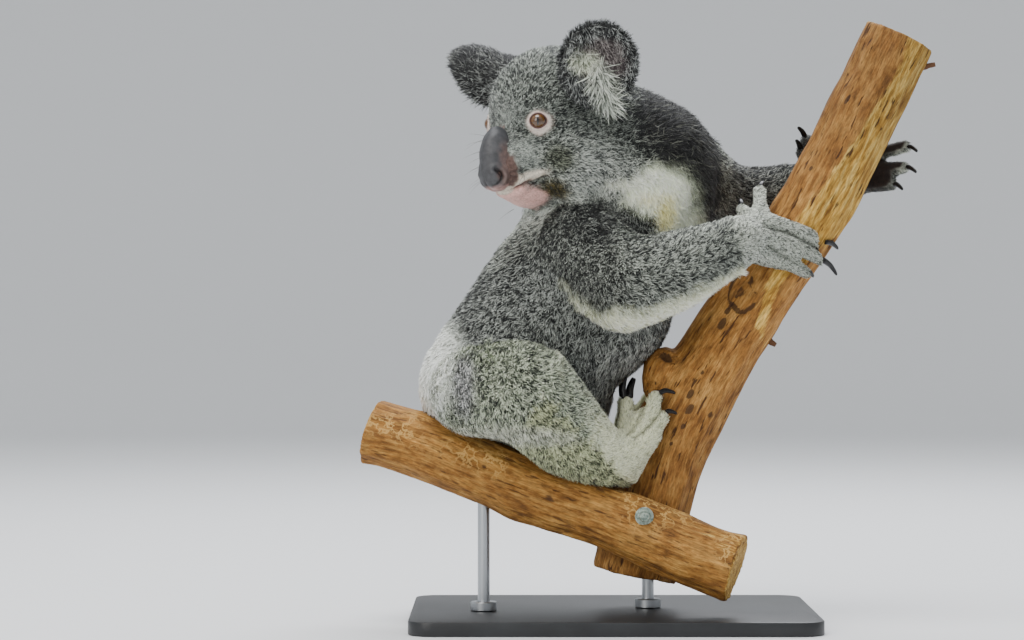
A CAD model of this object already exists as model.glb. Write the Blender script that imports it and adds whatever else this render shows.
"""A life-size koala on short lengths of branch and trunk, held by a plain display stand.

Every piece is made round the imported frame, in metres. Places typed in by hand are in millimetres,
and MM turns them to metres. The trunk leans towards +X, and the animal's right side faces -Y.
"""

import itertools
import math

import bmesh
import bpy
import numpy as np
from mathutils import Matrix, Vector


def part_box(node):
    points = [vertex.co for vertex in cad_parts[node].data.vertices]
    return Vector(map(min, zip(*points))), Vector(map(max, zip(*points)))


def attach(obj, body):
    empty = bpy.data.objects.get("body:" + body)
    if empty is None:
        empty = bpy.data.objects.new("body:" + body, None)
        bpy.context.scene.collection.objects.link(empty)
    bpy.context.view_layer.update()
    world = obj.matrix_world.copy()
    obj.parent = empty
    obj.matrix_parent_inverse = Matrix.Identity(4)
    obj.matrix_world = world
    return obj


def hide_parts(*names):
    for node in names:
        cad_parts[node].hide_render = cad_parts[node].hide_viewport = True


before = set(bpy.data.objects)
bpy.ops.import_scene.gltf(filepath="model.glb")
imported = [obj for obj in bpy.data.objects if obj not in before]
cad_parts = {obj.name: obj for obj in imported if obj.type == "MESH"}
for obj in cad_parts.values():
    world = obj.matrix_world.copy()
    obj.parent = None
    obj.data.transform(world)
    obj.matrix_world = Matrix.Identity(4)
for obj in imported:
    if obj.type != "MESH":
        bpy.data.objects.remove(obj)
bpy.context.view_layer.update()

MM = 0.001

# ---------------------------------------------------------------- studio
# A pale seamless sweep round the model, a wide soft lamp above and behind it like a bright
# awning, a weaker one in front, and a camera level with the animal's lap.

CAMERA_PLACE = (-0.1, -3.0, 0.302)
VIEW_WIDTH = 1.024  # across the perch
SENSOR_WIDTH = 36
SWEEP_RADIUS = 5.0
SWEEP_BEND = 1.6
SWEEP_HEIGHT = 3.4
LAMPS = (
    # name, place, size, watts, colour: all aim at the animal's chest
    ("awning", (0.5, 1.6, 2.7), 2.4, 105, "#F8FAFF"),
    ("overhead", (-0.5, -0.7, 2.6), 1.6, 50, "#FFFFFF"),
    ("front", (-2.0, -3.0, 1.5), 2.2, 58, "#FFFBF4"),
)
LAMP_AIM = (0, 0, 0.34)
SKY_COLOUR = "#E4E7EA"
SKY_STRENGTH = 1.15


def linear(code):
    """Linear red, green and blue of an sRGB hex colour."""
    srgb = np.array([int(code[i : i + 2], 16) for i in (1, 3, 5)]) / 255
    return np.where(srgb < 0.04045, srgb / 12.92, ((srgb + 0.055) / 1.055) ** 2.4)


def add_node(tree, kind, settings=None, inputs=None):
    """A node with its settings, and its inputs set to values or linked to sockets."""
    node = tree.nodes.new(kind)
    for name, value in (settings or {}).items():
        if name == "stops":
            stops = node.color_ramp.elements
            while len(stops) < len(value):
                stops.new(1)
            for stop, (position, code) in zip(stops, value):
                stop.position = position
                stop.color = (*linear(code), 1)
        else:
            setattr(node, name, value)
    for name, value in (inputs or {}).items():
        if isinstance(value, bpy.types.NodeSocket):
            tree.links.new(value, node.inputs[name])
        else:
            node.inputs[name].default_value = value
    return node


def start_material(name, colour, roughness, **sockets):
    """A Principled material, and its node tree and shader to add to."""
    material = bpy.data.materials.new(name)
    material.use_nodes = True
    tree = material.node_tree
    shader = tree.nodes["Principled BSDF"]
    shader.inputs["Base Color"].default_value = (*linear(colour), 1)
    shader.inputs["Roughness"].default_value = roughness
    for socket, value in sockets.items():
        shader.inputs[socket.replace("_", " ")].default_value = value
    return material, tree, shader


def mesh_object(name, points, faces, material, smooth=True):
    """An object from an array of points and an array of faces that all have as many corners."""
    mesh = bpy.data.meshes.new(name)
    mesh.vertices.add(len(points))
    mesh.vertices.foreach_set("co", np.ascontiguousarray(points, np.float32).ravel())
    mesh.loops.add(faces.size)
    mesh.loops.foreach_set("vertex_index", np.ascontiguousarray(faces, np.int32).ravel())
    mesh.polygons.add(len(faces))
    starts = np.arange(0, faces.size, faces.shape[1], dtype=np.int32)
    mesh.polygons.foreach_set("loop_start", starts)
    mesh.update(calc_edges=True)
    if smooth:
        mesh.shade_smooth()
    mesh.materials.append(material)
    piece = bpy.data.objects.new(name, mesh)
    bpy.context.scene.collection.objects.link(piece)
    return piece


def ring_object(name, rings, material, caps=True):
    """A surface through rings[i, j] of points: a four-sided face between each two neighbours
    along and around, and a flat cap at each end."""
    count, around = rings.shape[:2]
    first = np.arange((count - 1) * around).reshape(count - 1, around)
    second = np.roll(first, -1, axis=1)
    quads = np.stack([first, second, second + around, first + around], axis=-1)
    faces = quads.reshape(-1, 4).tolist()
    if caps:
        faces.append(list(range(around))[::-1])
        faces.append(list(range((count - 1) * around, count * around)))
    mesh = bpy.data.meshes.new(name)
    mesh.from_pydata(rings.reshape(-1, 3).tolist(), [], faces)
    mesh.update()
    mesh.shade_smooth()
    mesh.set_sharp_from_angle(angle=math.radians(40))
    mesh.materials.append(material)
    piece = bpy.data.objects.new(name, mesh)
    bpy.context.scene.collection.objects.link(piece)
    return piece


def turned(profile, middle, around=48):
    """Rings of a turned shape: each radius and height of the profile swept round the Z axis
    through the middle."""
    angle = np.linspace(0, 2 * np.pi, around, endpoint=False)
    radius, height = np.array(profile, float).T
    rings = np.empty((len(radius), around, 3))
    rings[..., 0] = middle[0] + radius[:, None] * np.cos(angle)
    rings[..., 1] = middle[1] + radius[:, None] * np.sin(angle)
    rings[..., 2] = height[:, None]
    return rings


def settle(piece, slot, *nodes):
    """Fixes a finished piece to the model, with the finish and the solids that it stands for."""
    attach(piece, "root")
    if nodes:
        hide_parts(*nodes)
    return piece


def aim(thing, target):
    """Turns a lamp or a camera so that it looks at the target."""
    way = np.array(target) - np.array(thing.location)
    thing.rotation_euler = (
        math.atan2(math.hypot(way[0], way[1]), -way[2]),
        0,
        math.atan2(-way[0], way[1]),
    )


def make_studio():
    camera = bpy.data.cameras.new("camera")
    camera.sensor_width = SENSOR_WIDTH
    camera.lens = SENSOR_WIDTH * -CAMERA_PLACE[1] / VIEW_WIDTH
    holder = bpy.data.objects.new("camera", camera)
    holder.location = CAMERA_PLACE
    holder.rotation_euler = (math.radians(90), 0, 0)
    bpy.context.scene.collection.objects.link(holder)
    bpy.context.scene.camera = holder

    for name, place, size, watts, colour in LAMPS:
        lamp = bpy.data.lights.new(name, "AREA")
        lamp.shape = "DISK"
        lamp.size = size
        lamp.energy = watts
        lamp.color = linear(colour)
        holder = bpy.data.objects.new(name, lamp)
        holder.location = place
        aim(holder, LAMP_AIM)
        bpy.context.scene.collection.objects.link(holder)

    world = bpy.data.worlds.new("sky")
    world.use_nodes = True
    background = world.node_tree.nodes["Background"]
    background.inputs["Color"].default_value = (*linear(SKY_COLOUR), 1)
    background.inputs["Strength"].default_value = SKY_STRENGTH
    bpy.context.scene.world = world

    # The sweep is turned from a flat disc, a quarter round bend and an upright wall.
    paper, _, _ = start_material("Matt paper sweep", "#D9DADB", 0.95)
    bend = np.linspace(0, np.pi / 2, 13)
    profile = [(0.001, 0), (SWEEP_RADIUS * 0.5, 0)]
    profile += [
        (SWEEP_RADIUS + SWEEP_BEND * math.sin(turn), SWEEP_BEND * (1 - math.cos(turn)))
        for turn in bend
    ]
    profile.append((SWEEP_RADIUS + SWEEP_BEND, SWEEP_HEIGHT))
    ring_object("floor", turned(profile, (0, 0), 96)[:, ::-1], paper, caps=False)


make_studio()

# ---------------------------------------------------------------- display stand
# A steel plate with round corners and a softened edge, powder-coated black, and two brushed
# steel rods, each screwed down through a turned collar and let into the wood from below.

PLATE_CORNER = 24 * MM
PLATE_EDGE = 1.2 * MM
COLLAR_RADIUS = 13 * MM
COLLAR_HEIGHT = 9 * MM
ROD_SINK = 6 * MM  # how far the rod goes on into its hole in the wood


def plate_rings(low, high):
    """Rings of a rectangle with round corners. Each ring runs round four quarter circles, and
    is moved in by the softened edge at the top and the bottom."""
    turn = np.linspace(0, np.pi / 2, 9)
    rings = []
    for inset, height in (
        (PLATE_EDGE, low[2]),
        (0.3 * PLATE_EDGE, low[2] + 0.3 * PLATE_EDGE),
        (0, low[2] + PLATE_EDGE),
        (0, high[2] - PLATE_EDGE),
        (0.3 * PLATE_EDGE, high[2] - 0.3 * PLATE_EDGE),
        (PLATE_EDGE, high[2]),
    ):
        ring = []
        for corner, (x, y) in enumerate(((1, 1), (-1, 1), (-1, -1), (1, -1))):
            middle_x = (high[0] - PLATE_CORNER) if x > 0 else (low[0] + PLATE_CORNER)
            middle_y = (high[1] - PLATE_CORNER) if y > 0 else (low[1] + PLATE_CORNER)
            angle = turn + corner * np.pi / 2
            radius = PLATE_CORNER - inset
            ring.append(
                np.stack(
                    [
                        middle_x + radius * np.cos(angle),
                        middle_y + radius * np.sin(angle),
                        np.full(len(angle), height),
                    ],
                    axis=1,
                )
            )
        rings.append(np.concatenate(ring))
    return np.array(rings)


def powder_coat():
    """Powder coat: a baked black paint with a fine orange-peel skin, a grain about 0.8 mm wide,
    and soft sheen."""
    material, tree, shader = start_material("Black powder coat", "#1B1C1E", 0.42)
    place = add_node(tree, "ShaderNodeTexCoord").outputs["Object"]
    peel = add_node(tree, "ShaderNodeTexNoise", None, {"Vector": place, "Scale": 1200, "Detail": 2})
    dust = add_node(tree, "ShaderNodeTexNoise", None, {"Vector": place, "Scale": 22, "Detail": 5})
    tone = add_node(
        tree,
        "ShaderNodeValToRGB",
        {"stops": [(0.35, "#17181A"), (0.7, "#242628")]},
        {"Fac": dust.outputs["Fac"]},
    )
    bump = add_node(
        tree,
        "ShaderNodeBump",
        None,
        {"Strength": 0.35, "Distance": 0.0002, "Height": peel.outputs["Fac"]},
    )
    tree.links.new(tone.outputs["Color"], shader.inputs["Base Color"])
    tree.links.new(bump.outputs["Normal"], shader.inputs["Normal"])
    return material


def brushed_steel():
    """Stainless steel rod, turned and then brushed round: fine rings about 0.5 mm apart."""
    material, tree, shader = start_material("Brushed steel", "#A9ACAF", 0.32, Metallic=1)
    place = add_node(tree, "ShaderNodeTexCoord").outputs["Object"]
    stretch = add_node(
        tree, "ShaderNodeMapping", None, {"Vector": place, "Scale": (60, 60, 2000)}
    )
    lines = add_node(
        tree,
        "ShaderNodeTexNoise",
        None,
        {"Vector": stretch.outputs["Vector"], "Scale": 1, "Detail": 3},
    )
    rough = add_node(
        tree,
        "ShaderNodeMapRange",
        None,
        {"Value": lines.outputs["Fac"], "To Min": 0.24, "To Max": 0.42},
    )
    bump = add_node(
        tree,
        "ShaderNodeBump",
        None,
        {"Strength": 0.25, "Distance": 0.0001, "Height": lines.outputs["Fac"]},
    )
    tree.links.new(rough.outputs["Result"], shader.inputs["Roughness"])
    tree.links.new(bump.outputs["Normal"], shader.inputs["Normal"])
    return material


def make_stand():
    low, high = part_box("stand_base")
    plate = ring_object("stand_plate", plate_rings(low, high), powder_coat())
    settle(plate, "stand_black", "stand_base")
    steel = brushed_steel()
    for node in ("stand_rod_trunk", "stand_rod_branch"):
        low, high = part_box(node)
        middle = (low + high) / 2
        radius = (high[1] - low[1]) / 2
        foot = low[2]
        chamfer = 0.8 * MM
        profile = [
            (COLLAR_RADIUS - chamfer, foot),
            (COLLAR_RADIUS, foot + chamfer),
            (COLLAR_RADIUS, foot + COLLAR_HEIGHT - chamfer),
            (COLLAR_RADIUS - chamfer, foot + COLLAR_HEIGHT),
            (radius + chamfer, foot + COLLAR_HEIGHT),
            (radius, foot + COLLAR_HEIGHT - chamfer),
            (radius, high[2] + ROD_SINK - chamfer),
            (radius - chamfer, high[2] + ROD_SINK),
        ]
        rod = ring_object(node.replace("stand_", "stand_turned_"), turned(profile, middle), steel)
        settle(rod, "rod_steel", node)


make_stand()

# ---------------------------------------------------------------- perch
# A length of gum-tree trunk with most of its bark rubbed off, and a branch laid across it in a
# notch. The wood keeps its dry fibres, knots and the oval marks of old shoots.

WOOD_VOXEL = {"perch_trunk": 1.9 * MM, "perch_branch": 1.7 * MM}
WOOD_LINES = {
    # points along the middle of each length, in mm
    "perch_trunk": (
        (22, 0, 47), (48, 0, 152), (78, 0, 222), (140, 0, 322), (206, 0, 422), (287, 0, 585),
    ),
    "perch_branch": (
        (-240, 0, 191), (-172, -16, 171), (-112, -32, 146), (-53, -47, 124), (6, -63, 104),
        (64, -78, 80), (118, -92, 62),
    ),
}
SCARS = (
    # place and size in mm, how deep it is, and how dark: knots, and marks of old shoots
    ((53, -30, 266), (11, 24, 6.5), 6.0, 1.0),
    ((50, -24, 262), (24, 24, 15), -2.4, 0.35),
    ((107, -38, 298), (5, 24, 11), 1.0, 0.9),
    ((113, -38, 311), (4, 24, 7), 0.8, 0.75),
    ((76, -43, 229), (5, 9, 8), 1.0, 1.0),
    ((75, -43, 214), (5, 9, 8), 1.0, 0.95),
    ((69, -43, 197), (4, 9, 5.5), 0.8, 0.95),
    ((57, -43, 180), (3, 9, 4), 0.6, 0.9),
    ((82, -41, 162), (3.6, 9, 10), 0.7, 0.75),
    ((96, -36, 208), (3.8, 9, 6), 0.7, 0.7),
    ((88, -40, 250), (3, 9, 4), 0.6, 0.6),
    ((196, -32, 452), (3, 9, 6), 0.5, 0.8),
    ((150, -36, 405), (3, 9, 6), 0.5, 0.8),
    ((232, -30, 520), (3, 9, 9), 0.5, 0.8),
    ((-64, -80, 128), (9, 12, 6), 1.4, 0.7),
    ((-20, -94, 122), (6, 12, 4), 0.8, 0.7),
    ((-128, -62, 158), (6, 12, 4), 0.8, 0.6),
)
SCAR_LEAN = math.radians(33)  # off upright, as the trunk leans
# A branch that was lost left a ring of callus: place and half size in mm, and the height, the
# place and the breadth of its two ridges, in shares of that size.
RING_PLACE = (127, -36, 329)
RING_SIZE = (14, 36, 19)
RING_RIDGES = ((1.0, 0.86, 0.2), (0.8, 0.3, 0.18))
# By height in mm: x of the trunk's middle, where its bare wood starts and stops across it in half
# widths to the right of that, and its tone, bleached at half its height.
TRUNK_HALF_WIDTH = 42
TRUNK_MIDDLE = ((47, 22), (222, 78), (322, 140), (422, 206), (585, 287))
BARE_START = (
    (262, 1.3), (300, 0.3), (336, 0.0), (408, -0.3), (431, -0.15), (470, 0.06), (507, 0.16),
    (546, 0.26), (590, 0.1),
)
BARE_STOP = ((262, 1.2), (300, 0.6), (336, 0.4), (380, 0.9), (408, 1.6))
TRUNK_TONE = ((150, 1.0), (300, 1.25), (350, 1.2), (520, 0.74))
BRANCH_TONE = 1.06
GRAIN_STRETCH = 6  # how much longer the grain's pattern is than it is wide
# Stubs of twigs: root and tip in mm, and radius.
TWIGS = (((300, -6, 552), (322, -9, 557), 3.4), ((150, -4, 286), (163, -8, 277), 3.8))


def joined_mesh(nodes):
    """One mesh of the named solids, in which corners that meet are merged."""
    joined = bmesh.new()
    for name in nodes:
        joined.from_mesh(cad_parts[name].data)
    bmesh.ops.remove_doubles(joined, verts=joined.verts, dist=0.001 * MM)
    mesh = bpy.data.meshes.new("joined")
    joined.to_mesh(mesh)
    joined.free()
    return mesh


def solid_of(nodes, voxel, kept=(), share=1):
    """Points and faces of the named solids, run together by a voxel remesh that closes the thin
    gaps between them. Away from the kept nodes the surface is then thinned, to leave the share
    of all the faces."""
    mesh = with_modifier(joined_mesh(nodes), "REMESH", mode="VOXEL", voxel_size=voxel)
    points, faces = mesh_arrays(mesh)
    if kept:
        low, high = (np.array([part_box(name)[end] for name in kept]) for end in (0, 1))
        near = (points[:, None] > low - 2 * MM) & (points[:, None] < high + 2 * MM)
        rest = np.flatnonzero(~near.all(axis=2).any(axis=1)).tolist()
        mesh = with_modifier(mesh, "DECIMATE", rest, ratio=share)
        points, faces = mesh_arrays(mesh)
    bpy.data.meshes.remove(mesh)
    return points, faces


def with_modifier(mesh, kind, group=(), **settings):
    """The mesh changed by a modifier, which acts on the group's vertices only if there is one."""
    holder = bpy.data.objects.new(mesh.name, mesh)
    bpy.context.scene.collection.objects.link(holder)
    modifier = holder.modifiers.new(kind, kind)
    for name, value in settings.items():
        setattr(modifier, name, value)
    if group:
        holder.vertex_groups.new(name="acted on").add(group, 1, "REPLACE")
        modifier.vertex_group = "acted on"
    bpy.context.view_layer.update()
    graph = bpy.context.evaluated_depsgraph_get()
    changed = bpy.data.meshes.new_from_object(holder.evaluated_get(graph))
    bpy.data.objects.remove(holder)
    bpy.data.meshes.remove(mesh)
    return changed


def mesh_arrays(mesh):
    """A mesh's points, and its triangles."""
    points = np.empty(len(mesh.vertices) * 3)
    mesh.vertices.foreach_get("co", points)
    mesh.calc_loop_triangles()
    faces = np.empty(len(mesh.loop_triangles) * 3, np.int32)
    mesh.loop_triangles.foreach_get("vertices", faces)
    return points.reshape(-1, 3), faces.reshape(-1, 3)


def relaxed(values, faces, rounds, share=0.5):
    """Each round moves every point's value its share of the way to the mean of its
    neighbours' values."""
    start = faces.ravel()
    end = np.roll(faces, -1, axis=1).ravel()
    flat = values.reshape(len(values), -1)
    count = np.maximum(np.bincount(start, minlength=len(flat)), 1)[:, None]
    share = np.broadcast_to(np.reshape(share, (-1, 1)), (len(flat), 1))
    for _ in range(rounds):
        near = [np.bincount(start, flat[end, axis], len(flat)) for axis in range(flat.shape[1])]
        flat = flat + share * (np.stack(near, axis=1) / count - flat)
    return flat.reshape(values.shape)


def normals_of(points, faces):
    """The mean way that the faces round each point look, weighted by their size."""
    a, b, c = (points[faces[:, corner]] for corner in range(3))
    across = np.cross(b - a, c - a)
    total = np.zeros_like(points)
    for corner in range(3):
        for axis in range(3):
            total[:, axis] += np.bincount(faces[:, corner], across[:, axis], len(points))
    return unit(total)


def unit(ways):
    """Each way at length one."""
    return ways / np.maximum(np.linalg.norm(ways, axis=-1, keepdims=True), 1e-12)


def noise(points, size, seed=0):
    """Smooth noise from 0 to 1: a random value at each corner of a lattice of cubes of that
    size, and between them a blend by smooth steps along the three axes."""
    grid = points / size + 17.3 * seed
    cell = np.floor(grid).astype(np.int64)
    step = grid - cell
    step = step * step * (3 - 2 * step)
    total = np.zeros(len(points))
    for corner in itertools.product((0, 1), repeat=3):
        x, y, z = (cell + corner).T
        code = (x * 73856093) ^ (y * 19349663) ^ (z * 83492791) ^ (seed * 9176263)
        code = (code ^ (code >> 13)) * 1274126177 & 0xFFFFFFFF
        value = ((code ^ (code >> 16)) & 0xFFFFFF) / 0xFFFFFF
        total += value * np.prod(np.where(corner, step, 1 - step), axis=1)
    return total


def ease(value, start, end):
    """A smooth step from 0 at the start to 1 at the end: 3t² - 2t³."""
    share = np.clip((value - start) / (end - start), 0, 1)
    return share * share * (3 - 2 * share)


def hump(distance, breadth):
    """A smooth hump, one in its middle: exp(-(d / b)²)."""
    return np.exp(-((distance / breadth) ** 2))


def reach_in(points, middle, size):
    """How far out each point lies in an ellipsoid: 0 in its middle, and 1 on its surface."""
    return np.linalg.norm((points - np.array(middle)) / np.array(size), axis=1)


def along_line(points, line):
    """For each point: the distance to a line through places, how far along the line the nearest
    spot is, and that spot."""
    line = np.array(line, float)
    best = np.full(len(points), np.inf)
    run = np.zeros(len(points))
    spot = np.zeros_like(points)
    done = 0
    for start, end in zip(line, line[1:]):
        way = end - start
        length = np.linalg.norm(way)
        share = np.clip((points - start) @ way / length**2, 0, 1)
        near = start + share[:, None] * way
        distance = np.linalg.norm(points - near, axis=1)
        closer = distance < best
        best = np.where(closer, distance, best)
        run = np.where(closer, done + share * length, run)
        spot[closer] = near[closer]
        done += length
    return best, run, spot


def smooth_line(places, steps=8):
    """A Catmull-Rom curve through places: a cubic between each two that leaves each place
    parallel to the line between its neighbours."""
    places = np.array(places, float)
    ends = np.concatenate([places[:1], places, places[-1:]])
    t = np.linspace(0, 1, steps, endpoint=False)[:, None]
    spans = []
    for a, b, c, d in zip(ends, ends[1:], ends[2:], ends[3:]):
        square = 2 * a - 5 * b + 4 * c - d
        cube = 3 * b - a - 3 * c + d
        spans.append(0.5 * (2 * b + (c - a) * t + square * t**2 + cube * t**3))
    return np.concatenate([*spans, places[-1:]])


def in_scar(points, place, size):
    """One in the middle of a rounded, leaning spot, falling smoothly to nothing at its edge."""
    x, y, z = (points / MM - np.array(place)).T
    right = x * math.cos(SCAR_LEAN) - z * math.sin(SCAR_LEAN)
    up = x * math.sin(SCAR_LEAN) + z * math.cos(SCAR_LEAN)
    reach = np.linalg.norm(np.stack([right, y, up], axis=1) / np.array(size), axis=1)
    share = np.clip(1.25 - reach, 0, 1) / 1.25
    return share * share * (3 - 2 * share)


def old_gum_wood(name, bark, pale, deep, fissures):
    """Weathered gum wood: fibres along the grain about 1 mm apart, rust-brown inner bark over
    straw-coloured wood, and dark cracks and spots. It is dry and matt. The attribute Marks holds
    the shares of bare wood, scar and flaking bark, and the tone."""
    material, tree, shader = start_material(name, bark, 0.78)
    shader.inputs["Specular IOR Level"].default_value = 0.25
    grain = add_node(tree, "ShaderNodeAttribute", {"attribute_name": "Grain"}).outputs["Vector"]
    marks = add_node(tree, "ShaderNodeAttribute", {"attribute_name": "Marks"})
    split = add_node(tree, "ShaderNodeSeparateColor", None, {"Color": marks.outputs["Color"]})
    place = add_node(tree, "ShaderNodeTexCoord").outputs["Object"]

    fibre = add_node(
        tree, "ShaderNodeTexNoise", None,
        {"Vector": grain, "Scale": 620, "Detail": 6, "Roughness": 0.65},
    )
    streak = add_node(
        tree, "ShaderNodeTexNoise", None, {"Vector": grain, "Scale": 190, "Detail": 6, "Roughness": 0.7}
    )
    cloud = add_node(
        tree, "ShaderNodeTexNoise", None, {"Vector": place, "Scale": 34, "Detail": 6, "Roughness": 0.66}
    )
    brown = add_node(
        tree, "ShaderNodeValToRGB", {"stops": [(0.3, deep), (0.48, bark), (0.68, pale)]},
        {"Fac": cloud.outputs["Fac"]},
    )
    streaked = add_node(
        tree, "ShaderNodeValToRGB", {"stops": [(0.38, deep), (0.49, bark), (0.64, pale)]},
        {"Fac": streak.outputs["Fac"]},
    )
    base = add_node(
        tree, "ShaderNodeMix", {"data_type": "RGBA"},
        {0: 0.55, 6: brown.outputs["Color"], 7: streaked.outputs["Color"]},
    )
    straw = add_node(
        tree, "ShaderNodeValToRGB", {"stops": [(0.36, "#7C531C"), (0.5, "#AC843A"), (0.66, "#D6B568")]},
        {"Fac": streak.outputs["Fac"]},
    )
    # The edge of the bared wood is torn along the fibres.
    torn = add_node(
        tree, "ShaderNodeMath", {"operation": "MULTIPLY_ADD"},
        {0: streak.outputs["Fac"], 1: 1.1, 2: split.outputs["Red"]},
    )
    bare = add_node(
        tree, "ShaderNodeMapRange", {"interpolation_type": "SMOOTHSTEP"},
        {"Value": torn.outputs[0], "From Min": 0.98, "From Max": 1.16},
    )
    wood = add_node(
        tree, "ShaderNodeMix", {"data_type": "RGBA"},
        {0: bare.outputs["Result"], 6: base.outputs[2], 7: straw.outputs["Color"]},
    )
    crack = add_node(
        tree, "ShaderNodeTexNoise", None, {"Vector": grain, "Scale": 260, "Detail": 2, "Roughness": 0.5}
    )
    cracks = add_node(
        tree, "ShaderNodeMapRange", {"interpolation_type": "SMOOTHSTEP"},
        {"Value": crack.outputs["Fac"], "From Min": 0.37, "From Max": 0.31, "To Max": fissures},
    )
    cracked = add_node(
        tree, "ShaderNodeMix", {"data_type": "RGBA"},
        {0: cracks.outputs["Result"], 6: wood.outputs[2], 7: (*linear("#4A2E18"), 1)},
    )
    fine = add_node(
        tree, "ShaderNodeMapRange", None,
        {"Value": fibre.outputs["Fac"], "From Min": 0.32, "From Max": 0.68, "To Min": 0.55,
         "To Max": 1.38},
    )
    fibred = add_node(
        tree, "ShaderNodeMix", {"data_type": "RGBA", "blend_type": "MULTIPLY"},
        {0: 1.0, 6: cracked.outputs[2], 7: fine.outputs["Result"]},
    )
    ragged = add_node(
        tree, "ShaderNodeMath", {"operation": "MULTIPLY_ADD"},
        {0: streak.outputs["Fac"], 1: 1.3, 2: split.outputs["Green"]},
    )
    scarring = add_node(
        tree, "ShaderNodeMapRange", {"interpolation_type": "SMOOTHSTEP"},
        {"Value": ragged.outputs[0], "From Min": 0.98, "From Max": 1.16, "To Max": 0.85},
    )
    toned = add_node(
        tree, "ShaderNodeMix", {"data_type": "RGBA", "blend_type": "MULTIPLY"},
        {0: 1.0, 6: fibred.outputs[2], 7: marks.outputs["Alpha"]},
    )
    scarred = add_node(
        tree, "ShaderNodeMix", {"data_type": "RGBA"},
        {0: scarring.outputs["Result"], 6: toned.outputs[2], 7: (*linear("#3F2A1A"), 1)},
    )
    # Flakes of dead bark: thin pale tracks where a noise passes its middle value.
    track = add_node(
        tree, "ShaderNodeTexNoise", None, {"Vector": place, "Scale": 75, "Detail": 4, "Roughness": 0.6}
    )
    middle = add_node(
        tree, "ShaderNodeMath", {"operation": "SUBTRACT"}, {0: track.outputs["Fac"], 1: 0.5}
    )
    away = add_node(tree, "ShaderNodeMath", {"operation": "ABSOLUTE"}, {0: middle.outputs[0]})
    thin = add_node(
        tree, "ShaderNodeMapRange", None,
        {"Value": away.outputs[0], "From Min": 0.034, "From Max": 0.02},
    )
    flaky = add_node(
        tree, "ShaderNodeMath", {"operation": "MULTIPLY"},
        {0: thin.outputs["Result"], 1: split.outputs["Blue"]},
    )
    flaked = add_node(
        tree, "ShaderNodeMix", {"data_type": "RGBA"},
        {0: flaky.outputs[0], 6: scarred.outputs[2], 7: (*linear("#C29A58"), 1)},
    )
    height = add_node(
        tree, "ShaderNodeMath", {"operation": "MULTIPLY_ADD"},
        {0: cracks.outputs["Result"], 1: -1.5, 2: fibre.outputs["Fac"]},
    )
    bump = add_node(
        tree, "ShaderNodeBump", None,
        {"Strength": 0.9, "Distance": 0.001, "Height": height.outputs[0]},
    )
    tree.links.new(flaked.outputs[2], shader.inputs["Base Color"])
    tree.links.new(bump.outputs["Normal"], shader.inputs["Normal"])
    return material


def make_wood(node, material, bared):
    """The solid's surface, roughened along the grain and dented at its scars. The grain's own
    coordinates are the two offsets from the middle line, and the run along it shrunk."""
    points, faces = solid_of([node], WOOD_VOXEL[node])
    points = relaxed(points, faces, 4)
    line = smooth_line(np.array(WOOD_LINES[node]) * MM)
    out, run, spot = along_line(points, line)
    normal = normals_of(points, faces)
    offset = points - spot
    way = unit(line[-1] - line[0])
    side = unit(np.cross(way, (0, 0, 1.0)))
    top = np.cross(side, way)
    across = offset @ side
    above = offset @ top
    grain = np.stack([across, above, run / GRAIN_STRETCH], axis=1)
    ridge = noise(grain, 7 * MM, 1) + 0.5 * noise(grain, 2.5 * MM, 2) - 0.75
    lump = noise(points, 34 * MM, 3) - 0.5
    scar = np.zeros(len(points))
    dent = np.zeros(len(points))
    for place, size, depth, dark in SCARS:
        share = in_scar(points, place, size)
        scar = np.maximum(scar, dark * share)
        dent += depth * share
    reach = reach_in(points / MM, RING_PLACE, RING_SIZE)
    reach = reach + 0.55 * (noise(points / MM, 9, 9) - 0.5)
    ring = sum(height * hump(reach - place, breadth) for height, place, breadth in RING_RIDGES)
    scar = np.maximum(scar, 0.66 * ring * ease(noise(points / MM, 7, 10), 0.2, 0.5))
    dent += 1.6 * ring - 1.5 * hump(reach, 1)
    end = np.minimum(run, run.max() - run) < 0.4 * MM
    step = (1.5 * ridge + 4.0 * lump - dent) * MM * ~end
    points = points + normal * step[:, None]
    # Sawn ends show the pale wood.
    share = np.maximum(bared(points), end)
    piece = mesh_object(node.replace("perch_", "wooden_"), points, faces, material)
    # Flakes of bark stay on the upper side of the branch.
    upper = ease(above / np.maximum(out, 1e-6), -0.3, 0.5)
    flakes = ease(noise(points, 50 * MM, 5), 0.42, 0.62) * upper
    flakes = flakes * (node == "perch_branch") * 0.85
    tone = by_height(points, TRUNK_TONE)
    tone = tone if node == "perch_trunk" else np.full(len(points), BRANCH_TONE)
    marks = np.stack([share, scar, flakes, tone], axis=1)
    layer = piece.data.color_attributes.new("Marks", "FLOAT_COLOR", "POINT")
    layer.data.foreach_set("color", marks.astype(np.float32).ravel())
    layer = piece.data.attributes.new("Grain", "FLOAT_VECTOR", "POINT")
    layer.data.foreach_set("vector", grain.astype(np.float32).ravel())
    return settle(piece, "bark", node)


def by_height(points, table):
    """A value from a table of heights in mm and values, by straight lines between them."""
    return np.interp(points[:, 2] / MM, *zip(*table))


def trunk_bared(points):
    """The trunk is bare in a strip that starts under the near hand and widens upwards, over its
    outer side."""
    right = (points[:, 0] / MM - by_height(points, TRUNK_MIDDLE)) / TRUNK_HALF_WIDTH
    start = by_height(points, BARE_START)
    stop = by_height(points, BARE_STOP)
    return np.clip(0.45 + 1.6 * np.minimum(right - start, stop - right), 0, 0.72)


def branch_bared(points):
    """The branch is scraped pale in places along its lower right length."""
    patch = noise(points, 45 * MM, 7)
    return np.clip(0.1 + 0.9 * (patch - 0.55) + 0.5 * (points[:, 0] / MM - 40) / 100, 0, 0.55)


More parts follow.
